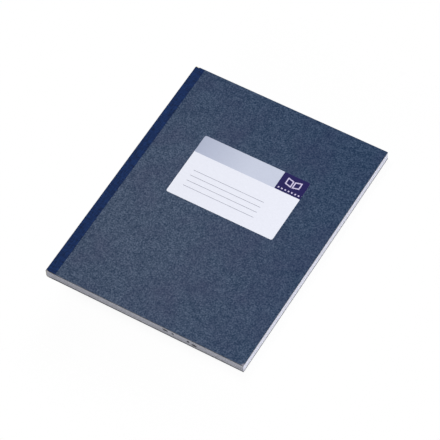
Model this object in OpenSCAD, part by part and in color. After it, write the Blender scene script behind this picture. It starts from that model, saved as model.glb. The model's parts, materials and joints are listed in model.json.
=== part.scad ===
// Composition notebook with stiff marbled covers, a cloth tape spine and a sewn page block.
// Millimetres. The closed book lies on its back cover: +X from spine to fore-edge,
// +Y from tail to head, +Z up to the front cover. The origin is under the middle of the book.

/* [Format] */
// Width of the closed notebook, from the spine to the fore-edge
cover_w = 165; // [140:1:200]
// Height of the closed notebook, from tail to head
cover_h = 210; // [205:1:270]

/* [Page block] */
// Number of sewn sections
section_count = 8; // [5:1:12]
// Leaves in one section
section_leaves = 8; // [8:4:16]
// Thickness of one leaf
leaf_t = 0.09; // [0.08:0.01:0.12]
// Thickness of the glue over the crowns of the section folds
glue_t = 0.3; // [0.25:0.05:0.5]
// Space between the outer sections and the tape at the shoulders
shoulder_gap = 0.2; // [0.15:0.05:0.3]
// Width of the fine grooves between the sections on the trimmed edges
section_groove = 0.08; // [0.04:0.02:0.16]

/* [Sewing] */
// Number of rows of stitches over the section folds
stitch_rows = 6; // [3:1:10]
// Thickness of the sewing thread
thread_t = 0.2; // [0.1:0.05:0.25]
// Width of one row of stitches
stitch_w = 0.5; // [0.3:0.1:1]
// Distance of the outermost rows of stitches from head and tail
stitch_end = 16; // [10:1:30]

/* [Covers] */
// Thickness of the cover board
board_t = 0.9; // [0.4:0.1:1.5]
// Thickness of the marbled covering paper
cover_paper_t = 0.14; // [0.1:0.02:0.2]
// Thickness of the endpapers
endpaper_t = 0.12; // [0.1:0.02:0.2]
// Air between each cover and its flyleaf
cover_gap = 0.05; // [0.03:0.01:0.1]

/* [Spine tape] */
// Thickness of the cloth tape
tape_t = 0.2; // [0.15:0.05:0.3]
// How far the tape reaches over each cover, from the face of the spine
tape_flap_w = 8.3; // [6:0.1:14]
// How far the tape stops short of the head
tape_head_gap = 0.7; // [0.2:0.1:1.5]
// Outer radius of the shoulders of the spine
shoulder_r = 1.2; // [1.1:0.1:1.3]

/* [Joints] */
// Distance of both hinge lines from the face of the spine
hinge_x = 2.2; // [2:0.1:2.6]
// Width of the flexible joint between a hinge line and the edge of its board
joint_w = 1.2; // [0.8:0.1:2]
// Clearance on each side of a hinge line
joint_clear = 0.05; // [0.03:0.01:0.08]

/* [Label] */
// Width of the label
label_w = 89.7; // [70:0.1:95]
// Height of the label
label_h = 56.7; // [52:0.1:70]
// Distance of the label from the face of the spine
label_x = 39.8; // [20:0.1:42]
// Distance of the label from the head
label_y = 52.1; // [20:0.1:80]
// Corner radius of the label
label_r = 1.5; // [1:0.5:4]
// Thickness of the label paper
label_t = 0.09; // [0.06:0.01:0.12]
// Thickness of the printed fields
print_t = 0.03; // [0.02:0.01:0.04]
// Height of the printed heading, a pale band with a dark block at its end
heading_h = 16.2; // [14:0.2:20]
// Width of the dark block
block_w = 21.6; // [15:0.1:30]
// Width of the open book sign in the dark block
sign_w = 12; // [8:0.5:14]
// Width of the sign's outline
sign_line = 0.9; // [0.5:0.1:1.2]
// How far the sign sits above the middle of the block
sign_rise = 1.4; // [0:0.1:1.6]
// Width of the dots in the row under the sign
dot_w = 1.2; // [0.6:0.1:1.6]
// Distance between the dots
dot_pitch = 2.8; // [2:0.1:3]
// Distance of the row of dots from the lower edge of the block
dot_rise = 2.3; // [1:0.1:2.5]
// Number of writing lines
rule_count = 4; // [2:1:4]
// Length of a writing line
rule_w = 59.5; // [40:0.5:60]
// Height of a writing line's stroke
rule_t = 0.45; // [0.2:0.05:0.8]
// Distance between the writing lines
rule_pitch = 5; // [4:0.5:6]
// Distance of the writing lines from the label's left edge
rule_x = 8.4; // [4:0.1:12]
// Distance of the first writing line from the label's top edge
rule_y = 31.1; // [22:0.1:32]

/* [Hidden] */

arc_steps = 8;
half_w = cover_w / 2;
half_h = cover_h / 2;
board_x = hinge_x + joint_w;

// Depths below the outer face of the tape on the front, in the order of the layers
board_depth = tape_t + cover_paper_t;
pastedown_depth = board_depth + board_t;
flyleaf_depth = pastedown_depth + endpaper_t + cover_gap;
block_depth = flyleaf_depth + endpaper_t;
section_t = section_leaves * leaf_t;
block_t = section_count * section_t;
total_t = block_t + 2 * block_depth;

// The folds swell the block at the spine, so they spread over more than its thickness
swell_depth = tape_t + shoulder_gap;
fold_pitch = (total_t - 2 * swell_depth) / section_count;
fold_r = fold_pitch / 2;
fold_x = tape_t + glue_t + fold_r;
shoulder_x = hinge_x - joint_clear;

stitch_span = cover_h - 2 * stitch_end;
stitch_pitch = stitch_span / (stitch_rows - 1);

cloth_blue = [0.12, 0.18, 0.33];
marble_blue = [0.26, 0.32, 0.42];
board_grey = [0.55, 0.55, 0.54];
page_white = [0.95, 0.95, 0.93];
endpaper_white = [0.97, 0.97, 0.95];
thread_white = [0.92, 0.91, 0.86];
glue_cream = [0.88, 0.84, 0.72];
label_white = [0.94, 0.95, 0.98];
band_lavender = [0.77, 0.78, 0.86];
block_violet = [0.17, 0.11, 0.41];
ink_grey = [0.55, 0.56, 0.62];

// Points on an arc round a centre, from angle a0 to angle a1
function arc(centre, r, a0, a1) =
    [for (k = [0:arc_steps]) let (a = a0 + (a1 - a0) * k / arc_steps)
        centre + r * [cos(a), sin(a)]];

// Height of the centre of a section's fold
function fold_z(i) = swell_depth + (i + 0.5) * fold_pitch;

// Turns a profile drawn in X and Z into a solid along Y, with its X counted from the spine
module along_spine(head_gap = 0) {
    translate([-half_w, half_h - head_gap, 0])
        rotate([90, 0, 0])
            linear_extrude(cover_h - head_gap) children();
}

// A flat layer, at a depth below the front and from one distance from the spine to another
module layer(depth, thick, from, to = cover_w, head_gap = 0) {
    translate([from - half_w, -half_h, total_t - depth - thick])
        cube([to - from, cover_h - head_gap, thick]);
}

// The same thing on the back of the book
module on_back() {
    translate([0, 0, total_t]) mirror([0, 0, 1]) children();
}

// The spine's profile with both shoulders rounded, as far in as the hinge lines
module spine_profile(inset) {
    r = shoulder_r - inset;
    polygon(concat(
        [[shoulder_x, inset], [shoulder_x, total_t - inset]],
        arc([shoulder_r, total_t - shoulder_r], r, 90, 180),
        arc([shoulder_r, shoulder_r], r, 180, 270)));
}

// A row of round section folds, with their crowns towards the spine
module fold_row(r) {
    for (i = [0:section_count - 1])
        polygon(arc([fold_x, fold_z(i)], r, 90, 270));
}

// The block's profile: flat leaves, swelling to the round folds at the shoulders
module block_profile() {
    polygon([
        [fold_x, swell_depth], [shoulder_x, block_depth], [cover_w, block_depth],
        [cover_w, total_t - block_depth], [shoulder_x, total_t - block_depth],
        [fold_x, total_t - swell_depth]]);
    fold_row(fold_r);
}

// One row of link stitches, which follows the crowns from the first section to the last
module stitch_row() {
    intersection() {
        difference() {
            fold_row(fold_r + thread_t);
            block_profile();
        }
        translate([0, fold_z(0)])
            square([fold_x, fold_z(section_count - 1) - fold_z(0)]);
    }
}

// The fine grooves between the sections, round the three trimmed edges
module section_grooves() {
    groove_w = section_groove / sqrt(2);
    flat_w = cover_w - shoulder_x;
    for (i = [1:section_count - 1])
        translate([shoulder_x + flat_w / 2 - half_w, 0, block_depth + i * section_t]) {
            for (end = [-half_h, half_h])
                translate([0, end, 0]) rotate([45, 0, 0])
                    cube([flat_w, groove_w, groove_w], center = true);
            translate([flat_w / 2, 0, 0]) rotate([0, 45, 0])
                cube([groove_w, cover_h, groove_w], center = true);
        }
}

module page_block() {
    color(page_white)
        difference() {
            along_spine() block_profile();
            section_grooves();
        }
}

module sewing_thread() {
    color(thread_white)
        for (k = [0:stitch_rows - 1])
            translate([-half_w, (stitch_w - stitch_span) / 2 + k * stitch_pitch, 0])
                rotate([90, 0, 0])
                    linear_extrude(stitch_w) stitch_row();
}

module spine_glue() {
    color(glue_cream)
        difference() {
            along_spine()
                difference() {
                    spine_profile(tape_t);
                    block_profile();
                }
            sewing_thread();
        }
}

module spine_tape() {
    color(cloth_blue)
        along_spine(tape_head_gap)
            difference() {
                spine_profile(0);
                spine_profile(tape_t);
            }
}

module front_flyleaf() {
    color(endpaper_white) layer(flyleaf_depth, endpaper_t, shoulder_x);
}

module back_flyleaf() {
    on_back() front_flyleaf();
}

module front_board() {
    color(board_grey) layer(board_depth, board_t, board_x);
}

module front_cover_paper() {
    color(marble_blue) layer(tape_t, cover_paper_t, board_x);
}

module front_tape_flap() {
    color(cloth_blue) layer(0, tape_t, hinge_x + joint_clear, tape_flap_w, tape_head_gap);
}

module front_pastedown() {
    color(endpaper_white) layer(pastedown_depth, endpaper_t, hinge_x + joint_clear);
}

module back_board() {
    on_back() front_board();
}

module back_cover_paper() {
    on_back() front_cover_paper();
}

module back_tape_flap() {
    on_back() front_tape_flap();
}

module back_pastedown() {
    on_back() front_pastedown();
}

// Places a flat shape on the label, counted from its top left corner, with Y up the cover
module on_label(lift, thick) {
    translate([label_x - half_w, half_h - label_y, total_t - tape_t + lift])
        linear_extrude(thick) children();
}

module label_shape() {
    polygon(concat(
        arc([label_w - label_r, -label_r], label_r, 0, 90),
        arc([label_r, -label_r], label_r, 90, 180),
        arc([label_r, label_r - label_h], label_r, 180, 270),
        arc([label_w - label_r, label_r - label_h], label_r, 270, 360)));
}

// A stretch of the printed heading, cut to the label's round corners
module heading_shape(from, to) {
    intersection() {
        label_shape();
        translate([from, -heading_h]) square([to - from, heading_h]);
    }
}

// One page of the sign, leaning up from its gutter, with its edges drawn in by an inset
module sign_page(inset) {
    page_h = sign_w / 2;
    gutter = sign_w / 30;
    lean = sign_w / 8;
    from = gutter + inset;
    to = sign_w / 2 - inset;
    slope = lean / (sign_w / 2 - gutter);
    in = inset * sqrt(1 + slope * slope);
    low = slope * inset;
    high = lean - low;
    polygon([[from, low - in], [to, high - in], [to, high - page_h + in],
        [from, low - page_h + in]]);
}

// The outline of an open book, with a row of dots under it
module sign_shape() {
    middle = label_w - block_w / 2;
    // The middle of the outline lies this far below the top of its gutter
    drop = sign_w * 3 / 16;
    translate([middle, drop - heading_h / 2 + sign_rise])
        for (side = [0, 1])
            mirror([side, 0])
                difference() {
                    sign_page(0);
                    sign_page(sign_line);
                }
    for (k = [-3:3])
        translate([middle + k * dot_pitch, dot_rise - heading_h])
            square([dot_w, dot_w], center = true);
}

module label() {
    color(label_white) on_label(0, label_t) label_shape();
}

module label_print_band() {
    color(band_lavender) on_label(label_t, print_t) heading_shape(0, label_w - block_w);
}

module label_print_block() {
    color(block_violet) on_label(label_t, print_t) heading_shape(label_w - block_w, label_w);
}

module label_print_sign() {
    color(label_white) on_label(label_t + print_t, print_t) sign_shape();
}

module label_print_rules() {
    color(ink_grey)
        on_label(label_t, print_t)
            for (k = [0:rule_count - 1])
                translate([rule_x, -rule_y - k * rule_pitch - rule_t / 2])
                    square([rule_w, rule_t]);
}

page_block();
sewing_thread();
spine_glue();
spine_tape();
front_flyleaf();
back_flyleaf();
front_board();
front_cover_paper();
front_tape_flap();
front_pastedown();
label();
label_print_band();
label_print_block();
label_print_sign();
label_print_rules();
back_board();
back_cover_paper();
back_tape_flap();
back_pastedown();
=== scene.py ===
"""Composition notebook: the looks, the light and the camera round its packed solids. Metres."""

import json
import math

import bmesh
import bpy
from bpy.props import FloatProperty, FloatVectorProperty, IntProperty, PointerProperty
from mathutils import Matrix, Vector


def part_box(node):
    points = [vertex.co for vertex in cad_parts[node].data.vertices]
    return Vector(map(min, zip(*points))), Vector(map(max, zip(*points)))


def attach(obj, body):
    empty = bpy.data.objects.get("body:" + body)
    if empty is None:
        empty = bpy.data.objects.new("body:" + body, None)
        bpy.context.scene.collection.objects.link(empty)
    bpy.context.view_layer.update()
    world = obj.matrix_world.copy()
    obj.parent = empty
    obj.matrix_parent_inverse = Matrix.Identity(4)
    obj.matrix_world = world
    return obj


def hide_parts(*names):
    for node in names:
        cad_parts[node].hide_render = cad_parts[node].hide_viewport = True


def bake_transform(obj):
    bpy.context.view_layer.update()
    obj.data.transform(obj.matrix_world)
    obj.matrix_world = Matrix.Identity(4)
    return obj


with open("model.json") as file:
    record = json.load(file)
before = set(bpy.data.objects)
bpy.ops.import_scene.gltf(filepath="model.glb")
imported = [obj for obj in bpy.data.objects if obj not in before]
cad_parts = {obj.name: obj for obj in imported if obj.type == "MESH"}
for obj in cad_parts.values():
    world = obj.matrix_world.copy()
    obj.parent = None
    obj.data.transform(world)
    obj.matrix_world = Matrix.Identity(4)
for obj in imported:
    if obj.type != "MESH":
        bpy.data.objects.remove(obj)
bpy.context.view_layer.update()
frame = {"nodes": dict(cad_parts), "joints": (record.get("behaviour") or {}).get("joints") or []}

bl_info = {
    "name": "Composition notebook",
    "version": (1, 0, 0),
    "blender": (4, 5, 0),
    "location": "3D View > Sidebar > Notebook",
    "description": "Builds a sewn notebook with marbled covers and a cloth tape spine",
    "category": "Object",
}

MM = 0.001

# The closed book's faces, read from the solids
SPINE_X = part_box("spine_tape")[0].x
FORE_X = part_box("page_block")[1].x
TAIL_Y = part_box("page_block")[0].y
HEAD_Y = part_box("page_block")[1].y
TOP_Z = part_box("front_tape_flap")[1].z
TAPE_HEAD_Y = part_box("spine_tape")[1].y
TAPE_END_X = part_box("front_tape_flap")[1].x
TAPE_T = TOP_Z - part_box("front_tape_flap")[0].z
BOARD_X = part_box("front_board")[0].x
SHOULDER_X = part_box("front_flyleaf")[0].x
FLYLEAF_Z = tuple(corner.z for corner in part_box("front_flyleaf"))
PASTEDOWN_Z = tuple(corner.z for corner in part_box("front_pastedown"))
BLOCK_LOW_Z = TOP_Z - FLYLEAF_Z[0]
HINGE_X = next(j for j in frame["joints"] if j["name"] == "front_hinge")["pos_m"][0]
BAND_X = tuple(corner.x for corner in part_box("label_print_band"))


def linear(hex_colour):
    """An sRGB colour written as #rrggbb, as the linear RGBA that a colour socket takes."""
    channels = [int(hex_colour[k:k + 2], 16) / 255 for k in (1, 3, 5)]
    return [c / 12.92 if c <= 0.04045 else ((c + 0.055) / 1.055) ** 2.4 for c in channels] + [1]


def colour(name, description, hex_colour):
    """A colour property with its default written in sRGB."""
    return FloatVectorProperty(name=name, description=description, subtype="COLOR", size=4,
                               min=0, max=1, default=linear(hex_colour))


def length(name, description, millimetres):
    """A length property with its default written in millimetres."""
    return FloatProperty(name=name, description=description, unit="LENGTH", precision=5,
                         min=0, default=millimetres * MM)


def location(name, description, default):
    """A property for a point in space, in metres."""
    return FloatVectorProperty(name=name, description=description, subtype="XYZ",
                               unit="LENGTH", precision=5, default=default)


def degrees(name, description, default):
    """An angle property with its default written in degrees."""
    return FloatProperty(name=name, description=description, unit="ROTATION",
                         default=math.radians(default))


def fraction(name, description, default):
    """A property for a share between nothing and all."""
    return FloatProperty(name=name, description=description, subtype="FACTOR", min=0, max=1,
                         default=default)


class NotebookSizes(bpy.types.PropertyGroup):
    """Sizes of the folded, sewn and bent parts."""

    sections: IntProperty(name="Sections", description="Sewn sections in the block", min=1,
                          default=8)
    sheets: IntProperty(name="Sheets", description="Folded sheets in one section", min=1,
                        default=4)
    leaf: length("Leaf", "Thickness of one leaf", 0.09)
    glue: length("Glue", "Thickness of the glue over the crowns of the folds", 0.3)
    shoulder_gap: length("Shoulder gap", "Space between the outer sections and the tape", 0.2)
    trim_play: length("Trim play", "How unevenly the leaves end at the trimmed fore-edge", 0.03)
    groove: length("Groove", "How far the outer sheet of a section stays back", 0.05)
    shoulder: length("Shoulder", "Outer radius of the two shoulders of the spine", 1.2)
    tape_row: length("Tape row", "Distance between the rows of points along the tape", 3.5)
    thread: length("Thread pitch", "Distance between the threads of the tape's weave", 0.5)
    rubbed: length("Rubbed corner", "How far the tail corner of the front is rubbed", 2.2)
    mottle: length("Mottle", "Grain of the marbling", 1.2)
    cloud: length("Cloud", "Width of the broad clouds in the marbling", 24)


class NotebookColours(bpy.types.PropertyGroup):
    """Colours of the papers, the cloth, the board and the inks."""

    marble_dark: colour("Marble, dark", "Dark grains of the marbling", "#162e4a")
    marble_light: colour("Marble, light", "Light grains of the marbling", "#425571")
    marble_warm: colour("Marble, warm", "Tint of the violet clouds", "#282f52")
    rubbed: colour("Rubbed", "Paper laid bare at the rubbed corner", "#9c98a6")
    tape: colour("Tape", "Dyed cotton of the tape", "#142b56")
    page: colour("Pages", "Uncoated paper of the leaves", "#edeefb")
    endpaper: colour("Endpapers", "Paper of the endpapers", "#eeeff6")
    board: colour("Board", "Grey board of the covers", "#888a90")
    label: colour("Label", "Coated paper of the label", "#ebedf8")
    band: colour("Band", "Pale ink of the heading band", "#c9cfe1")
    band_start: colour("Band, start", "Where the band is darkest, at its left end", "#b0b7cd")
    block: colour("Block", "Dark ink of the heading block", "#221d56")
    sign: colour("Sign", "Pale ink of the open book and its row of dots", "#d2cbe8")
    rule: colour("Rules", "Ink of the writing lines", "#a3a6b4")
    stamp: colour("Stamp", "Ink of the marks on the tail edge", "#33333d")
    thread: colour("Thread", "Bleached sewing thread", "#ece9dc")
    glue: colour("Glue", "Dried adhesive in the spine", "#e0d8bb")


class NotebookStage(bpy.types.PropertyGroup):
    """Camera, light and floor."""

    azimuth: degrees("Azimuth", "Bearing of the camera", 34.34)
    elevation: degrees("Elevation", "Height angle of the camera", 55.841)
    roll: degrees("Roll", "Turn of the camera about its line of sight", -4.348)
    distance: length("Distance", "Distance of the camera from its target", 2000.9)
    lens: FloatProperty(name="Lens", description="Focal length of the camera", unit="CAMERA",
                        min=1, default=225.169)
    target: location("Target", "Point that the camera looks at",
                     (3.756 * MM, -4.667 * MM, 4.71 * MM))
    ambient: fraction("Ambient", "Light of the room from all sides", 0.326)
    sheen_spot: location("Sheen spot", "Where the cover shines most",
                         (-56 * MM, -68 * MM, TOP_Z))
    floor_reach: length("Floor", "How far the floor reaches round the book", 90)
    floor_fade: length("Fade", "Width over which the floor fades into the backdrop", 60)
    hinge_room: length("Hinge room", "Space between the spine's folds and the floor", 2)
    floor_drop: length("Drop", "How far the floor lies below the lowest face", 0.02)
    floor_tone: fraction("Floor tone", "Paleness of the floor", 0.97)
    floor_lift: fraction("Floor lift", "Share of the floor's white that no shadow darkens", 0.85)
    floor_bounce: fraction("Floor bounce", "Share of the light that the floor throws back", 0.45)
    # Reach of the painted shadow in what the floor throws back on the book
    painted_shadow_reach: length("Contact", "How far the foot of the book dims what the floor throws back", 8)


def add(tree, kind, inputs=None, **settings):
    """Adds a node. An input is named by its identifier and takes a value, a socket or a node."""
    node = tree.nodes.new(kind)
    for name, value in settings.items():
        setattr(node, name, value)
    sockets = {socket.identifier: socket for socket in node.inputs}
    for name, value in (inputs or {}).items():
        if isinstance(value, bpy.types.Node):
            value = value.outputs[0]
        if isinstance(value, bpy.types.NodeSocket):
            tree.links.new(value, sockets[name])
        else:
            sockets[name].default_value = value
    return node


def start_material(name):
    """A new material with only an output, and its tree."""
    material = bpy.data.materials.new(name)
    material.use_nodes = True
    material.node_tree.nodes.clear()
    return material, material.node_tree


def end_material(tree, shader):
    """Links a finished shader to the material's output."""
    add(tree, "ShaderNodeOutputMaterial", {"Surface": shader})


def finish_nodes(material, *names):
    """Gives solids that stay as they are their material."""
    for name in names:
        frame["nodes"][name].material_slots[0].material = material


def marbled_paper(sizes, colours):
    """Cloud-marbled paper, offset printed on matt stock: a fine even grain of two blues, broad
    violet clouds in it, and a low sheen that is stronger on the paler grains. At the front's
    tail corner by the fore-edge the print is rubbed off."""
    flock_weight = 0.19
    contrast = 1.4
    fraying = 2.0
    tooth_width, tooth_height = 0.25 * MM, 0.02 * MM
    material, tree = start_material("Cloud-marbled paper")
    place = add(tree, "ShaderNodeTexCoord").outputs["Object"]
    grain = add(tree, "ShaderNodeTexNoise", {"Vector": place, "Scale": 1 / sizes.mottle,
                                             "Detail": 4.0, "Roughness": 0.6})
    flock = add(tree, "ShaderNodeTexNoise", {"Vector": place, "Scale": 1 / (3 * sizes.mottle),
                                             "Detail": 1.0})
    both = add(tree, "ShaderNodeMath", {"Value": flock, "Value_001": flock_weight,
                                        "Value_002": grain}, operation="MULTIPLY_ADD")
    spread = add(tree, "ShaderNodeMapRange", {"Value": both, "From Min": 0.425,
                                              "From Max": 0.77})
    tone = add(tree, "ShaderNodeMath", {"Value": spread, "Value_001": contrast},
               operation="POWER")
    cloud = add(tree, "ShaderNodeTexNoise", {"Vector": place, "Scale": 1 / sizes.cloud,
                                             "Detail": 3.0})
    veil = add(tree, "ShaderNodeMapRange", {"Value": cloud, "From Min": 0.45, "From Max": 0.75,
                                            "To Max": 0.45})
    blues = add(tree, "ShaderNodeMix", {"Factor_Float": tone, "A_Color": colours.marble_dark,
                                        "B_Color": colours.marble_light}, data_type="RGBA")
    tinted = add(tree, "ShaderNodeMix", {"Factor_Float": veil, "A_Color": blues.outputs[2],
                                         "B_Color": colours.marble_warm}, data_type="RGBA")
    corner = add(tree, "ShaderNodeMapping", {
        "Vector": place, "Location": (FORE_X, TAIL_Y, TOP_Z), "Scale": [sizes.rubbed] * 3},
        vector_type="TEXTURE")
    off = add(tree, "ShaderNodeVectorMath", {"Vector": corner}, operation="LENGTH")
    frayed = add(tree, "ShaderNodeMath", {"Value": grain, "Value_001": fraying,
                                          "Value_002": off.outputs["Value"]},
                 operation="MULTIPLY_ADD")
    wear = add(tree, "ShaderNodeMapRange", {"Value": frayed, "From Min": 1.4, "From Max": 2.0,
                                            "To Min": 0.8, "To Max": 0.0})
    worn = add(tree, "ShaderNodeMix", {"Factor_Float": wear, "A_Color": tinted.outputs[2],
                                       "B_Color": colours.rubbed}, data_type="RGBA")
    tooth = add(tree, "ShaderNodeTexNoise", {"Vector": place, "Scale": 1 / tooth_width,
                                             "Detail": 3.0})
    relief = add(tree, "ShaderNodeBump", {"Strength": 0.25, "Distance": tooth_height,
                                          "Height": tooth})
    rough = add(tree, "ShaderNodeMapRange", {"Value": grain, "To Min": 0.3, "To Max": 0.38})
    gloss = add(tree, "ShaderNodeMapRange", {"Value": tone, "To Min": 0.07, "To Max": 0.29})
    shader = add(tree, "ShaderNodeBsdfPrincipled", {
        "Base Color": worn.outputs[2], "Roughness": rough, "Specular IOR Level": gloss,
        "Normal": relief})
    end_material(tree, shader)
    return material


def cloth_tape(sizes, colours):
    """Woven cotton book cloth, dyed and calendered: threads over and under each other at the
    thread pitch, with shade painted darker between them, and paler slubs that run about
    five times as far along the threads as across, and the faint sheen of loose fibres."""
    slub_width, thread_height = 0.9 * MM, 0.05 * MM
    material, tree = start_material("Cotton book cloth")
    place = add(tree, "ShaderNodeUVMap", uv_map="Weave").outputs[0]
    split = add(tree, "ShaderNodeSeparateXYZ", {"Vector": place})
    turn = math.pi / sizes.thread
    waves = []
    for axis in ("X", "Y"):
        phase = add(tree, "ShaderNodeMath", {"Value": split.outputs[axis], "Value_001": turn},
                    operation="MULTIPLY")
        waves.append(add(tree, "ShaderNodeMath", {"Value": phase}, operation="SINE"))
    weave = add(tree, "ShaderNodeMath", {"Value": waves[0], "Value_001": waves[1]},
                operation="MULTIPLY")
    height = add(tree, "ShaderNodeMath", {"Value": weave}, operation="ABSOLUTE")
    slubs = []
    for stretch in ((1.0, 0.2, 1.0), (0.2, 1.0, 1.0)):
        run = add(tree, "ShaderNodeMapping", {"Vector": place, "Scale": stretch})
        slubs.append(add(tree, "ShaderNodeTexNoise", {"Vector": run, "Scale": 1 / slub_width,
                                                      "Detail": 2.0}))
    slub = add(tree, "ShaderNodeMath", {"Value": slubs[0], "Value_001": slubs[1]},
               operation="ADD")
    worn = add(tree, "ShaderNodeMapRange", {"Value": slub, "From Min": 0.7, "From Max": 1.3,
                                            "To Min": 0.5, "To Max": 1.6})
    # Painted shade: the colour is darker in the gaps between the threads and paler on their
    # crowns
    lit = add(tree, "ShaderNodeMapRange", {"Value": height, "To Min": 0.72, "To Max": 1.12})
    shade = add(tree, "ShaderNodeMath", {"Value": worn, "Value_001": lit}, operation="MULTIPLY")
    dyed = add(tree, "ShaderNodeVectorMath", {"Vector": list(colours.tape)[:3], "Scale": shade},
               operation="SCALE")
    relief = add(tree, "ShaderNodeBump", {"Strength": 0.5, "Distance": thread_height,
                                          "Height": height})
    shader = add(tree, "ShaderNodeBsdfPrincipled", {
        "Base Color": dyed, "Roughness": 0.7, "Specular IOR Level": 0.1, "Sheen Weight": 0.05,
        "Sheen Roughness": 0.4, "Normal": relief})
    end_material(tree, shader)
    return material


# Stamped marks on the tail edge, in millimetres: their middles, as the distance from the spine
# and the depth below the front, and their half sizes along the edge and across it. The ink
# reaches a little way in between the leaves.
EDGE_MARKS = (((100.6, 3.3), (2.7, 1.2)), ((107.0, 3.6), (1.1, 0.9)),
              ((119.7, 4.0), (1.4, 1.3)), ((124.6, 5.2), (2.4, 1.4)))
INK_DEPTH = 0.3 * MM


def page_paper(sizes, colours):
    """Uncoated wood-free paper, cut by guillotine: each leaf's edge a little lighter or darker
    than the next, the drag of the knife, and on the tail edge a few stamped dashes and dots."""
    stroke_length, stroke_width, stroke_depth = 16 * MM, 0.11 * MM, 0.03 * MM
    material, tree = start_material("Uncoated paper, guillotined")
    place = add(tree, "ShaderNodeTexCoord").outputs["Object"]
    height = add(tree, "ShaderNodeSeparateXYZ", {"Vector": place}).outputs["Z"]
    leaf = add(tree, "ShaderNodeMath", {"Value": height, "Value_001": sizes.leaf},
               operation="DIVIDE")
    count = add(tree, "ShaderNodeMath", {"Value": leaf}, operation="FLOOR")
    tone = add(tree, "ShaderNodeTexWhiteNoise", {"W": count}, noise_dimensions="1D")
    stroke = (1 / stroke_length, 1 / stroke_length, 1 / stroke_width)
    stretched = add(tree, "ShaderNodeMapping", {"Vector": place, "Scale": stroke})
    drag = add(tree, "ShaderNodeTexNoise", {"Vector": stretched, "Scale": 1.0, "Detail": 3.0})
    mixed = add(tree, "ShaderNodeMath", {"Value": tone, "Value_001": drag}, operation="ADD")
    shade = add(tree, "ShaderNodeMapRange", {"Value": mixed, "From Min": 0.4, "From Max": 1.6,
                                             "To Min": 0.9, "To Max": 1.0})
    paper = add(tree, "ShaderNodeVectorMath", {"Vector": list(colours.page)[:3],
                                               "Scale": shade}, operation="SCALE")
    stamped = 0.0
    for (along, depth), (half_x, half_z) in EDGE_MARKS:
        spot = add(tree, "ShaderNodeMapping", {
            "Vector": place, "Location": (SPINE_X + along * MM, TAIL_Y, TOP_Z - depth * MM),
            "Scale": (half_x * MM, INK_DEPTH, half_z * MM)}, vector_type="TEXTURE")
        off = add(tree, "ShaderNodeVectorMath", {"Vector": spot}, operation="LENGTH")
        mark = add(tree, "ShaderNodeMapRange", {
            "Value": off.outputs["Value"], "From Min": 0.7, "From Max": 1.0, "To Min": 0.9,
            "To Max": 0.0})
        stamped = add(tree, "ShaderNodeMath", {"Value": mark, "Value_001": stamped},
                      operation="MAXIMUM")
    inked = add(tree, "ShaderNodeMix", {"Factor_Float": stamped, "A_Color": paper,
                                        "B_Color": colours.stamp}, data_type="RGBA")
    relief = add(tree, "ShaderNodeBump", {"Strength": 0.3, "Distance": stroke_depth,
                                          "Height": mixed})
    shader = add(tree, "ShaderNodeBsdfPrincipled", {
        "Base Color": inked.outputs[2], "Roughness": 0.85, "Specular IOR Level": 0.2,
        "Normal": relief})
    end_material(tree, shader)
    return material


def plain_finish(name, base, fibre, depth, roughness, gloss, spread, fade=None):
    """A finish without a pattern, of paper, board, thread, glue or ink: its colour is clouded
    by fibres, about four times as long as they are wide, which give it its tooth too. A fade is
    another colour and the two values of X between which it passes into the base colour."""
    slant = 0.4
    material, tree = start_material(name)
    place = add(tree, "ShaderNodeTexCoord").outputs["Object"]
    turned = add(tree, "ShaderNodeMapping", {"Vector": place, "Rotation": (0, 0, slant),
                                             "Scale": (0.5, 2.0, 1.0)})
    fibres = add(tree, "ShaderNodeTexNoise", {"Vector": turned, "Scale": 1 / fibre,
                                              "Detail": 4.0, "Roughness": 0.65})
    shade = add(tree, "ShaderNodeMapRange", {"Value": fibres, "From Min": 0.3, "From Max": 0.7,
                                             "To Min": 1 - spread, "To Max": 1 + spread / 4})
    ground = list(base)[:3]
    if fade:
        other, start, end = fade
        along = add(tree, "ShaderNodeSeparateXYZ", {"Vector": place}).outputs["X"]
        share = add(tree, "ShaderNodeMapRange", {"Value": along, "From Min": start,
                                                 "From Max": end})
        ground = add(tree, "ShaderNodeMix", {"Factor_Float": share, "A_Color": other,
                                             "B_Color": base}, data_type="RGBA").outputs[2]
    tinted = add(tree, "ShaderNodeVectorMath", {"Vector": ground, "Scale": shade},
                 operation="SCALE")
    relief = add(tree, "ShaderNodeBump", {"Strength": 0.3, "Distance": depth,
                                          "Height": fibres})
    shader = add(tree, "ShaderNodeBsdfPrincipled", {
        "Base Color": tinted, "Roughness": roughness, "Specular IOR Level": gloss,
        "Normal": relief})
    end_material(tree, shader)
    return material


SHARP_ANGLE = math.radians(50)


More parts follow.
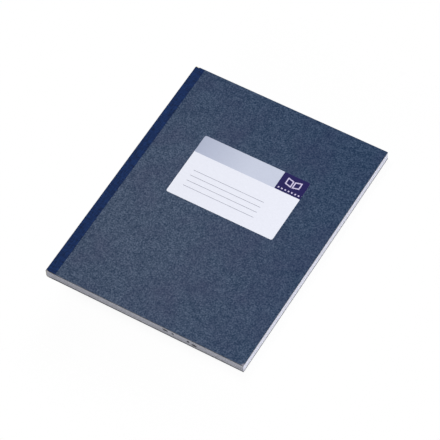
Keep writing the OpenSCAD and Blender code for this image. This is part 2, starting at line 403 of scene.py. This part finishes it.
def strip(name, outer, inner, stations, material):
    """A closed strip of even thickness along Y. Outer and inner are its two faces as (x, z)
    points in pairs, and its UV map Weave holds metres along the profile and along Y."""
    mesh = bmesh.new()
    uv = mesh.loops.layers.uv.new("Weave")
    walk = [0.0]
    for before, after in zip(outer, outer[1:]):
        walk.append(walk[-1] + math.dist(before, after))
    skins = [[[mesh.verts.new((x, y, z)) for x, z in skin] for y in stations]
             for skin in (outer, inner)]

    def panel(*spots):
        """A face through four spots, each given as its skin, its row and its column."""
        face = mesh.faces.new([skins[skin][row][column] for skin, row, column in spots])
        for loop, (_, row, column) in zip(face.loops, spots):
            loop[uv].uv = (walk[column], stations[row])

    last_row, last_column = len(stations) - 1, len(outer) - 1
    for skin in (0, 1):
        for row in range(last_row):
            for column in range(last_column):
                panel((skin, row, column), (skin, row, column + 1),
                      (skin, row + 1, column + 1), (skin, row + 1, column))
    for row in (0, last_row):
        for column in range(last_column):
            panel((0, row, column), (0, row, column + 1), (1, row, column + 1), (1, row, column))
    for column in (0, last_column):
        for row in range(last_row):
            panel((0, row, column), (0, row + 1, column), (1, row + 1, column), (1, row, column))
    bmesh.ops.recalc_face_normals(mesh, faces=mesh.faces)
    data = bpy.data.meshes.new(name)
    mesh.to_mesh(data)
    mesh.free()
    data.shade_smooth()
    data.set_sharp_from_angle(angle=SHARP_ANGLE)
    data.materials.append(material)
    piece = bpy.data.objects.new(name, data)
    bpy.context.scene.collection.objects.link(piece)
    return piece


def even_steps(start, end, count):
    """Evenly spaced numbers from start to end, both included."""
    return [start + (end - start) * k / count for k in range(count + 1)]


def turned_over(points):
    """The same profile on the back of the book."""
    return [(x, TOP_Z - z) for x, z in points]


# Points along one skin of a folded sheet, and in the ring along both of its skins
FOLD_POINTS = 33
FOLD_RING = 2 * FOLD_POINTS

# Half a sheet's points start in the crown of its fold. The first share of them makes the round
# fold, those up to the second make the swell behind it, and the rest lie flat.
FOLD_SHARE = 0.5
SWELL_SHARE = 0.9375

# How much of a leaf's room its paper takes, so that no leaf touches the next
SHEET_FILL = 0.94

# Each line of the formula is a name, a Math operation and its operands. A ring of points goes
# along the outer skin of a folded sheet from its lower fore-edge round the fold to the upper
# one (way from -1 to 1), and back along its inner skin.
FOLD_FORMULA = (
    ("point", "MODULO", "index", FOLD_RING),
    ("sheet_raw", "DIVIDE", "index", FOLD_RING),
    ("sheet", "FLOOR", "sheet_raw"),
    ("section_raw", "DIVIDE", "sheet", "Sheets"),
    ("section", "FLOOR", "section_raw"),
    ("nest", "MODULO", "sheet", "Sheets"),
    ("inside", "GREATER_THAN", "point", FOLD_POINTS - 0.5),
    ("back", "MULTIPLY_ADD", "point", -2.0, FOLD_RING - 1.0),
    ("walked", "MULTIPLY_ADD", "inside", "back", "point"),
    ("way", "MULTIPLY_ADD", "walked", 2 / (FOLD_POINTS - 1), -1.0),
    ("reach", "ABSOLUTE", "way"),
    ("side", "SIGN", "way"),
)

# With its shares of the turn, the swell and the flat known, the rest of the point follows
PLACE_FORMULA = (
    # The angle round the fold, from its crown
    ("angle", "MULTIPLY", "turn", math.pi / 2),
    ("cosine", "COSINE", "angle"),
    ("sine", "SINE", "angle"),
    # The radius of this skin in the fold
    ("skin", "MULTIPLY", "Leaf", SHEET_FILL),
    ("skin_in", "MULTIPLY", "inside", "skin"),
    ("nest_share", "DIVIDE", "nest", "Sheets"),
    ("nest_left", "SUBTRACT", 1.0, "nest_share"),
    ("radius_out", "MULTIPLY", "Fold Radius", "nest_left"),
    ("radius", "SUBTRACT", "radius_out", "skin_in"),
    # Its height from the middle of the section where the leaves lie flat
    ("leaves", "SUBTRACT", "Sheets", "nest"),
    ("stack_full", "MULTIPLY", "leaves", "Leaf"),
    ("stack_out", "SUBTRACT", "stack_full", "Slack"),
    ("stack", "SUBTRACT", "stack_out", "skin_in"),
    # The point's height, which passes from the fold's to the flat one over the swell
    ("rise", "MULTIPLY", "radius", "sine"),
    ("settle", "SUBTRACT", "stack", "rise"),
    ("offset", "MULTIPLY_ADD", "swell", "settle", "rise"),
    ("fold_z", "MULTIPLY_ADD", "section", "Fold Pitch", "First Fold"),
    ("flat_z", "MULTIPLY_ADD", "section", "Section Thickness", "First Section"),
    ("drop", "SUBTRACT", "flat_z", "fold_z"),
    ("centre_z", "MULTIPLY_ADD", "swell", "drop", "fold_z"),
    ("z", "MULTIPLY_ADD", "side", "offset", "centre_z"),
    ("down", "MULTIPLY", "z", -1.0),
    # Its place across the book, from the crown to the slightly uneven trimmed end
    ("crown", "MULTIPLY", "radius", "cosine"),
    ("fold_x", "SUBTRACT", "Fold Line", "crown"),
    ("to_shoulder", "SUBTRACT", "Shoulder", "Fold Line"),
    ("shoulder_x", "MULTIPLY_ADD", "swell", "to_shoulder", "fold_x"),
    ("outermost", "LESS_THAN", "nest", 0.5),
    ("short", "MULTIPLY_ADD", "outermost", "Groove", "ragged"),
    ("end_x", "SUBTRACT", "Fore-edge", "short"),
    ("to_end", "SUBTRACT", "end_x", "Shoulder"),
    ("x", "MULTIPLY_ADD", "flat", "to_end", "shoulder_x"),
)

# A Math node's operands, by their identifiers
MATH_OPERANDS = ("Value", "Value_001", "Value_002")


def work_out(tree, formula, known):
    """Adds the Math nodes of a formula and keeps each result under its name in known."""
    for name, operation, *operands in formula:
        taken = {slot: known.get(operand, operand)
                 for slot, operand in zip(MATH_OPERANDS, operands)}
        known[name] = add(tree, "ShaderNodeMath", taken, operation=operation)


def folded_sheets_tree(inputs):
    """A node tree that makes a block of nested folded sheets, each a closed solid."""
    tree = bpy.data.node_groups.new("Folded sheets", "GeometryNodeTree")
    tree.interface.new_socket("Geometry", in_out="OUTPUT", socket_type="NodeSocketGeometry")
    for name, value in inputs.items():
        kind = {int: "NodeSocketInt", float: "NodeSocketFloat"}.get(type(value),
                                                                   "NodeSocketMaterial")
        tree.interface.new_socket(name, in_out="INPUT", socket_type=kind)
    known = {socket.name: socket for socket in tree.nodes.new("NodeGroupInput").outputs}
    known["index"] = add(tree, "GeometryNodeInputIndex")
    work_out(tree, FOLD_FORMULA, known)
    shares = (("turn", 0.0, FOLD_SHARE, "LINEAR"),
              ("swell", FOLD_SHARE, SWELL_SHARE, "SMOOTHSTEP"),
              ("flat", SWELL_SHARE, 1.0, "LINEAR"))
    for name, start, end, curve in shares:
        known[name] = add(tree, "ShaderNodeMapRange", {
            "Value": known["reach"], "From Min": start, "From Max": end},
            interpolation_type=curve)
    leaf_id = add(tree, "ShaderNodeMath", {"Value": known["sheet"], "Value_001": 2.0,
                                           "Value_002": known["side"]}, operation="MULTIPLY_ADD")
    known["ragged"] = add(tree, "FunctionNodeRandomValue", {
        "Max_001": known["Trim Play"], "ID": leaf_id, "Seed": known["Seed"]},
        data_type="FLOAT").outputs[1]
    work_out(tree, PLACE_FORMULA, known)
    total = add(tree, "ShaderNodeMath", {"Value": known["Sections"],
                                         "Value_001": known["Sheets"]}, operation="MULTIPLY")
    count = add(tree, "ShaderNodeMath", {"Value": total, "Value_001": FOLD_RING},
                operation="MULTIPLY")
    # Swept along Y, a profile stands with its own Y axis pointing down
    place = add(tree, "ShaderNodeCombineXYZ", {"X": known["x"], "Y": known["down"]})
    points = add(tree, "GeometryNodePoints", {"Count": count, "Position": place})
    rings = add(tree, "GeometryNodePointsToCurves", {"Points": points,
                                                     "Curve Group ID": known["sheet"],
                                                     "Weight": known["point"]})
    closed = add(tree, "GeometryNodeSetSplineCyclic", {"Geometry": rings, "Cyclic": True})
    foot = add(tree, "ShaderNodeCombineXYZ", {"Y": known["Tail"]})
    head = add(tree, "ShaderNodeCombineXYZ", {"Y": known["Head"]})
    path = add(tree, "GeometryNodeCurvePrimitiveLine", {"Start": foot, "End": head})
    solid = add(tree, "GeometryNodeCurveToMesh", {"Curve": path, "Profile Curve": closed,
                                                  "Fill Caps": True})
    flat = add(tree, "GeometryNodeSetShadeSmooth", {"Geometry": solid, "Shade Smooth": False})
    real = add(tree, "GeometryNodeRealizeInstances", {"Geometry": flat})
    paper = add(tree, "GeometryNodeSetMaterial", {"Geometry": real, "Material": known["Paper"]})
    add(tree, "NodeGroupOutput", {tree.interface.items_tree[0].identifier: paper})
    return tree


def grow(name, tree, inputs):
    """Runs a geometry node tree with these inputs and keeps its result as a plain mesh."""
    piece = bpy.data.objects.new(name, bpy.data.meshes.new(name))
    bpy.context.scene.collection.objects.link(piece)
    modifier = piece.modifiers.new("Grow", "NODES")
    modifier.node_group = tree
    for item in tree.interface.items_tree:
        if item.in_out == "INPUT":
            modifier[item.identifier] = inputs[item.name]
    evaluated = piece.evaluated_get(bpy.context.evaluated_depsgraph_get())
    mesh = bpy.data.meshes.new_from_object(evaluated)
    piece.modifiers.remove(modifier)
    piece.data = mesh
    mesh.name = name
    return piece


class NOTEBOOK_OT_stage(bpy.types.Operator):
    """Sets up the camera, the soft studio light and the pale floor"""

    bl_idname = "notebook.stage"
    bl_label = "Stage"

    SENSOR_WIDTH = 36

    def execute(self, context):
        stage = context.scene.notebook_stage
        self.camera(context, stage)
        self.world(context, stage)
        self.lamps(context, stage)
        self.floor(context, stage)
        context.scene.view_settings.view_transform = "Standard"
        return {"FINISHED"}

    def bearing(self, stage):
        """The way from the book to the camera."""
        flat = math.cos(stage.elevation)
        return Vector((math.sin(stage.azimuth) * flat, -math.cos(stage.azimuth) * flat,
                       math.sin(stage.elevation)))

    def camera(self, context, stage):
        """The camera of the photograph: a long lens, from the fore-edge and tail, above."""
        data = bpy.data.cameras.new("Camera")
        data.sensor_width = self.SENSOR_WIDTH
        data.lens = stage.lens
        camera = bpy.data.objects.new("Camera", data)
        context.scene.collection.objects.link(camera)
        back = self.bearing(stage)
        look = (-back).to_track_quat("-Z", "Y").to_matrix().to_4x4()
        place = Matrix.Translation(Vector(stage.target) + back * stage.distance)
        camera.matrix_world = place @ look @ Matrix.Rotation(stage.roll, 4, "Z")
        context.scene.camera = camera

    def world(self, context, stage):
        """A white backdrop for the camera and for reflections up to the height of the walls, and
        a dim even light from the rest of the room."""
        world = bpy.data.worlds.new("Studio")
        world.use_nodes = True
        tree = world.node_tree
        tree.nodes.clear()
        rays = add(tree, "ShaderNodeLightPath")
        mirrored = add(tree, "ShaderNodeMath", {"Value": rays.outputs["Is Glossy Ray"],
                                                "Value_001": rays.outputs["Is Transmission Ray"]},
                       operation="MAXIMUM")
        way = add(tree, "ShaderNodeSeparateXYZ",
                  {"Vector": add(tree, "ShaderNodeTexCoord").outputs["Generated"]})
        wall = add(tree, "ShaderNodeMapRange", {"Value": way.outputs["Z"], "From Min": 0.3,
                                                "From Max": 0.7, "To Min": 1.0, "To Max": 0.0})
        backdrop = add(tree, "ShaderNodeMath", {"Value": mirrored, "Value_001": wall},
                       operation="MULTIPLY")
        seen = add(tree, "ShaderNodeMath", {"Value": rays.outputs["Is Camera Ray"],
                                            "Value_001": backdrop}, operation="MAXIMUM")
        dim = [stage.ambient] * 3 + [1]
        shown = add(tree, "ShaderNodeMix", {"Factor_Float": seen, "A_Color": dim,
                                            "B_Color": (1, 1, 1, 1)}, data_type="RGBA")
        light = add(tree, "ShaderNodeBackground", {"Color": shown.outputs[2], "Strength": 1.0})
        add(tree, "ShaderNodeOutputWorld", {"Surface": light})
        context.scene.world = world

    def lamps(self, context, stage):
        """Soft boxes, each with the point that it is aimed at, the way from there to the lamp,
        its distance, its width and its share: how bright a white card would come out that lies
        at that point and faces the lamp."""
        book = Vector((0, 0, TOP_Z))
        mirrored = self.bearing(stage) * Vector((-1, -1, 1))
        boxes = (("Key", book, Vector((0.63, -0.11, 0.77)), 1.2, 0.5, 0.68),
                 ("Sheen", Vector(stage.sheen_spot), mirrored, 0.6, 0.25, 0.24),
                 ("Under", book, Vector((0, 0, -1)), 1.2, 1.0, 0.45))
        for name, aim, way, distance, width, share in boxes:
            data = bpy.data.lights.new(name, "AREA")
            data.size = width
            data.energy = share * math.pi ** 2 * distance ** 2
            lamp = bpy.data.objects.new(name, data)
            lamp.visible_camera = False
            context.scene.collection.objects.link(lamp)
            way.normalize()
            lamp.matrix_world = (Matrix.Translation(aim + way * distance)
                                 @ way.to_track_quat("Z", "Y").to_matrix().to_4x4())

    def floor_paper(self, stage, start):
        """Matt background paper, evenly pale, which takes only a faint shadow of the book, and
        none along its edge by the joint, and fades into the backdrop. Seen from below, and
        under the book for all but the camera, it isn't there. What it throws back on the book
        carries a painted shadow: its colour for bounced light is painted darker near the book's
        foot."""
        touching = 0.01 * MM
        material, tree = start_material("Pale studio paper")
        half = Vector((FORE_X, HEAD_Y, stage.floor_drop))
        place = add(tree, "ShaderNodeTexCoord").outputs["Object"]
        folded = add(tree, "ShaderNodeVectorMath", {"Vector": place}, operation="ABSOLUTE")
        past = add(tree, "ShaderNodeVectorMath", {"Vector": folded, "Vector_001": half},
                   operation="SUBTRACT")
        outside = add(tree, "ShaderNodeVectorMath", {"Vector": past}, operation="MAXIMUM")
        away = add(tree, "ShaderNodeVectorMath", {"Vector": outside}, operation="LENGTH")
        fade = add(tree, "ShaderNodeMapRange", {
            "Value": away.outputs["Value"], "From Min": stage.floor_reach - stage.floor_fade,
            "From Max": stage.floor_reach}, interpolation_type="SMOOTHSTEP")
        covered = add(tree, "ShaderNodeMath", {"Value": away.outputs["Value"],
                                               "Value_001": touching}, operation="LESS_THAN")
        rays = add(tree, "ShaderNodeLightPath")
        seen = rays.outputs["Is Camera Ray"]
        unseen = add(tree, "ShaderNodeMath", {"Value": covered, "Value_001": seen},
                     operation="GREATER_THAN")
        below = add(tree, "ShaderNodeNewGeometry").outputs["Backfacing"]
        behind = add(tree, "ShaderNodeMath", {"Value": below, "Value_001": unseen},
                     operation="MAXIMUM")
        clear = add(tree, "ShaderNodeMath", {"Value": fade, "Value_001": behind},
                    operation="MAXIMUM")
        pale = [stage.floor_tone] * 3 + [1]
        # Painted shadow: what the floor throws back is painted darker near the book's foot
        painted_shadow_ramp = add(tree, "ShaderNodeMapRange", {
            "Value": away.outputs["Value"], "From Max": stage.painted_shadow_reach})
        dim = add(tree, "ShaderNodeVectorMath", {"Vector": [stage.floor_bounce] * 3,
                                                 "Scale": painted_shadow_ramp}, operation="SCALE")
        tone = add(tree, "ShaderNodeMix", {"Factor_Float": rays.outputs["Is Diffuse Ray"],
                                           "A_Color": pale, "B_Color": dim}, data_type="RGBA")
        lit = add(tree, "ShaderNodeBsdfDiffuse", {"Color": tone.outputs[2]})
        white = add(tree, "ShaderNodeEmission", {"Color": (1, 1, 1, 1), "Strength": 1.0})
        along = add(tree, "ShaderNodeSeparateXYZ", {"Vector": place}).outputs["X"]
        share = add(tree, "ShaderNodeMapRange", {
            "Value": along, "From Min": start, "From Max": start + stage.floor_fade / 2,
            "To Min": 1.0, "To Max": stage.floor_lift}, interpolation_type="SMOOTHSTEP")
        open_floor = add(tree, "ShaderNodeMath", {"Value": seen, "Value_001": covered},
                         operation="SUBTRACT")
        lift = add(tree, "ShaderNodeMath", {"Value": share, "Value_001": open_floor},
                   operation="MULTIPLY")
        paper = add(tree, "ShaderNodeMixShader", {"Fac": lift, "Shader": lit,
                                                  "Shader_001": white})
        gone = add(tree, "ShaderNodeBsdfTransparent")
        end_material(tree, add(tree, "ShaderNodeMixShader", {
            "Fac": clear, "Shader": paper, "Shader_001": gone}))
        return material

    def floor(self, context, stage):
        """A pale sheet under the book and beside it. It is left out from the joint on, where
        the back cover opens below it."""
        start = SHOULDER_X + stage.hinge_room
        reach = stage.floor_reach
        corners = ((start, TAIL_Y - reach), (FORE_X + reach, TAIL_Y - reach),
                   (FORE_X + reach, HEAD_Y + reach), (start, HEAD_Y + reach))
        data = bpy.data.meshes.new("Floor")
        data.from_pydata([(x, y, -stage.floor_drop) for x, y in corners], [], [(0, 1, 2, 3)])
        data.materials.append(self.floor_paper(stage, start))
        floor = bpy.data.objects.new("Floor", data)
        context.scene.collection.objects.link(floor)


class NOTEBOOK_OT_page_block(bpy.types.Operator):
    """Grows the block of folded sheets, section by section"""

    bl_idname = "notebook.page_block"
    bl_label = "Page block"

    def execute(self, context):
        sizes = context.scene.notebook_sizes
        paper = page_paper(sizes, context.scene.notebook_colours)
        section = 2 * sizes.sheets * sizes.leaf
        slack = (1 - SHEET_FILL) / 2 * sizes.leaf
        swell = TAPE_T + sizes.shoulder_gap
        pitch = (TOP_Z - 2 * swell) / sizes.sections
        inputs = {
            "Sections": sizes.sections, "Sheets": sizes.sheets, "Leaf": sizes.leaf,
            "Slack": slack, "Fold Radius": pitch / 2 - slack, "Fold Pitch": pitch,
            "First Fold": swell + pitch / 2,
            "Fold Line": SPINE_X + TAPE_T + sizes.glue + pitch / 2,
            "Section Thickness": section, "First Section": BLOCK_LOW_Z + section / 2,
            "Shoulder": SHOULDER_X, "Fore-edge": FORE_X, "Tail": TAIL_Y, "Head": HEAD_Y,
            "Trim Play": sizes.trim_play, "Groove": sizes.groove, "Seed": 7, "Paper": paper,
        }
        block = grow("folded_sheets", folded_sheets_tree(inputs), inputs)
        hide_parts("page_block")
        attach(block, "text_block")
        return {"FINISHED"}


class NOTEBOOK_OT_binding(bpy.types.Operator):
    """Finishes the sewing thread and the glue in the spine"""

    bl_idname = "notebook.binding"
    bl_label = "Sewing and glue"

    def execute(self, context):
        colours = context.scene.notebook_colours
        # Linen is twisted from short fibres, and looks matt, with darker gaps between them
        thread = plain_finish("Bleached linen thread", colours.thread, fibre=0.12 * MM,
                              depth=0.02 * MM, roughness=0.8, gloss=0.25, spread=0.25)
        finish_nodes(thread, "sewing_thread")
        # Brushed glue dries to a half-gloss skin with soft, broad unevenness
        glue = plain_finish("Dried dispersion glue", colours.glue, fibre=0.8 * MM,
                            depth=0.05 * MM, roughness=0.4, gloss=0.5, spread=0.1)
        finish_nodes(glue, "spine_glue")
        return {"FINISHED"}


class NOTEBOOK_OT_spine_tape(bpy.types.Operator):
    """Wraps the cloth tape round the spine, as two halves, each with many points across its hinge
    line
    """

    bl_idname = "notebook.spine_tape"
    bl_label = "Spine tape"

    ARC_STEPS = 10
    JOINT_STEPS = 14
    FLAT_SHARES = (0.5, 0.7)

    def profile(self, sizes, inset):
        """One face of the front half, from the middle of the spine to the end of the flap. The
        flat of the spine has its points at two shares of the book's height."""
        radius = sizes.shoulder - inset
        centre = (SPINE_X + sizes.shoulder, TOP_Z - sizes.shoulder)
        points = [(SPINE_X + inset, TOP_Z * share) for share in self.FLAT_SHARES]
        for angle in even_steps(math.pi, math.pi / 2, self.ARC_STEPS):
            points.append((centre[0] + radius * math.cos(angle),
                           centre[1] + radius * math.sin(angle)))
        for x in even_steps(HINGE_X, BOARD_X, self.JOINT_STEPS) + [TAPE_END_X]:
            points.append((x, TOP_Z - inset))
        return points

    def execute(self, context):
        sizes = context.scene.notebook_sizes
        cloth = cloth_tape(sizes, context.scene.notebook_colours)
        outer, inner = self.profile(sizes, 0.0), self.profile(sizes, TAPE_T)
        rows = round((TAPE_HEAD_Y - TAIL_Y) / sizes.tape_row)
        stations = even_steps(TAIL_Y, TAPE_HEAD_Y, rows)
        halves = (("front_tape", "front_cover", outer, inner, TOP_Z,
                   ("front_tape_flap", "spine_tape")),
                  ("back_tape", "back_cover", turned_over(outer), turned_over(inner), 0.0,
                   ("back_tape_flap",)))
        for name, body, outside, inside, face_z, nodes in halves:
            tape = strip(name, outside, inside, stations, cloth)
            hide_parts(*nodes)
            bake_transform(tape)
        return {"FINISHED"}


class NOTEBOOK_OT_endpapers(bpy.types.Operator):
    """Folds the two endpapers, each from its flyleaf round the joint to its pastedown"""

    bl_idname = "notebook.endpapers"
    bl_label = "Endpapers"

    FOLD_STEPS = 14
    # How far the fold stays clear of the glue
    FOLD_CLEARANCE = 0.02 * MM

    def execute(self, context):
        colours = context.scene.notebook_colours
        # Uncoated and pressed smooth: matt, with a cloudiness that hardly shows
        paper = plain_finish("Wood-free endpaper", colours.endpaper, fibre=0.5 * MM,
                             depth=0.015 * MM, roughness=0.8, gloss=0.25, spread=0.05)
        fly_low, fly_high = FLYLEAF_Z
        paste_low, paste_high = PASTEDOWN_Z
        thick = fly_high - fly_low
        fold_out = SHOULDER_X + self.FOLD_CLEARANCE
        fold_in = fold_out + thick
        heights = even_steps(fly_high, paste_low, self.FOLD_STEPS)[1:-1]
        outer = ([(FORE_X, fly_low), (fold_out, fly_low)] + [(fold_out, z) for z in heights]
                 + [(fold_out, paste_high), (FORE_X, paste_high)])
        inner = ([(FORE_X, fly_high), (fold_in, fly_high)] + [(fold_in, z) for z in heights]
                 + [(fold_in, paste_low), (FORE_X, paste_low)])
        gap = ((0, 0, fly_high), (0, 0, paste_low))
        turned_gap = tuple((x, y, TOP_Z - z) for x, y, z in gap)
        for side, (start, end), flip in (("front", gap, list), ("back", turned_gap, turned_over)):
            sheet = strip(side + "_endpaper", flip(outer), flip(inner), [TAIL_Y, HEAD_Y], paper)
            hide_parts(side + "_flyleaf", side + "_pastedown")
            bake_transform(sheet)
        return {"FINISHED"}


class NOTEBOOK_OT_covers(bpy.types.Operator):
    """Finishes the cover boards and their marbled covering paper"""

    bl_idname = "notebook.covers"
    bl_label = "Covers"

    def execute(self, context):
        colours = context.scene.notebook_colours
        # Board from waste paper: dull, with flecks of short fibres along its cut edges
        board = plain_finish("Grey board, flush cut", colours.board, fibre=0.35 * MM,
                             depth=0.04 * MM, roughness=0.9, gloss=0.2, spread=0.3)
        finish_nodes(board, "front_board", "back_board")
        marbled = marbled_paper(context.scene.notebook_sizes, colours)
        finish_nodes(marbled, "front_cover_paper", "back_cover_paper")
        return {"FINISHED"}


class NOTEBOOK_OT_label(bpy.types.Operator):
    """Finishes the label and its printed fields"""

    bl_idname = "notebook.label"
    bl_label = "Label"

    # The share of the band's width over which its ink grows paler
    FADE_SHARE = 0.65

    def execute(self, context):
        colours = context.scene.notebook_colours
        left, right = BAND_X
        fade = (colours.band_start, left, left + self.FADE_SHARE * (right - left))
        # A thin clay coating makes the label smooth and semi-matt, and the inks lie so thin on
        # it that they share its tooth and its faint gloss
        fields = (("Coated label paper", colours.label, None, "label"),
                  ("Pale offset ink", colours.band, fade, "label_print_band"),
                  ("Dark offset ink", colours.block, None, "label_print_block"),
                  ("Lilac offset ink", colours.sign, None, "label_print_sign"),
                  ("Grey offset ink", colours.rule, None, "label_print_rules"))
        for name, base, change, node in fields:
            field = plain_finish(name, base, fibre=0.7 * MM, depth=0.008 * MM, roughness=0.45,
                                 gloss=0.1, spread=0.07, fade=change)
            finish_nodes(field, node)
        return {"FINISHED"}


GROUPS = {NotebookSizes: "notebook_sizes", NotebookColours: "notebook_colours",
          NotebookStage: "notebook_stage"}
STEPS = (NOTEBOOK_OT_stage, NOTEBOOK_OT_page_block, NOTEBOOK_OT_binding, NOTEBOOK_OT_spine_tape,
         NOTEBOOK_OT_endpapers, NOTEBOOK_OT_covers, NOTEBOOK_OT_label)


class NOTEBOOK_PT_sidebar(bpy.types.Panel):
    """Lists the notebook's steps, sizes and colours"""

    bl_idname = "NOTEBOOK_PT_sidebar"
    bl_label = "Composition notebook"
    bl_space_type = "VIEW_3D"
    bl_region_type = "UI"
    bl_category = "Notebook"

    def draw(self, context):
        column = self.layout.column()
        for step in STEPS:
            column.operator(step.bl_idname)
        for group, values in GROUPS.items():
            box = self.layout.box()
            box.label(text=group.__doc__)
            for name in group.__annotations__:
                box.prop(getattr(context.scene, values), name)


CLASSES = (*GROUPS, *STEPS, NOTEBOOK_PT_sidebar)


def register():
    for cls in CLASSES:
        bpy.utils.register_class(cls)
    for group, name in GROUPS.items():
        setattr(bpy.types.Scene, name, PointerProperty(type=group))


def unregister():
    for name in GROUPS.values():
        delattr(bpy.types.Scene, name)
    for cls in reversed(CLASSES):
        bpy.utils.unregister_class(cls)


def main():
    register()
    bpy.ops.notebook.stage()
    bpy.ops.notebook.page_block()
    bpy.ops.notebook.binding()
    bpy.ops.notebook.spine_tape()
    bpy.ops.notebook.endpapers()
    bpy.ops.notebook.covers()
    bpy.ops.notebook.label()


if __name__ == "__main__":
    main()
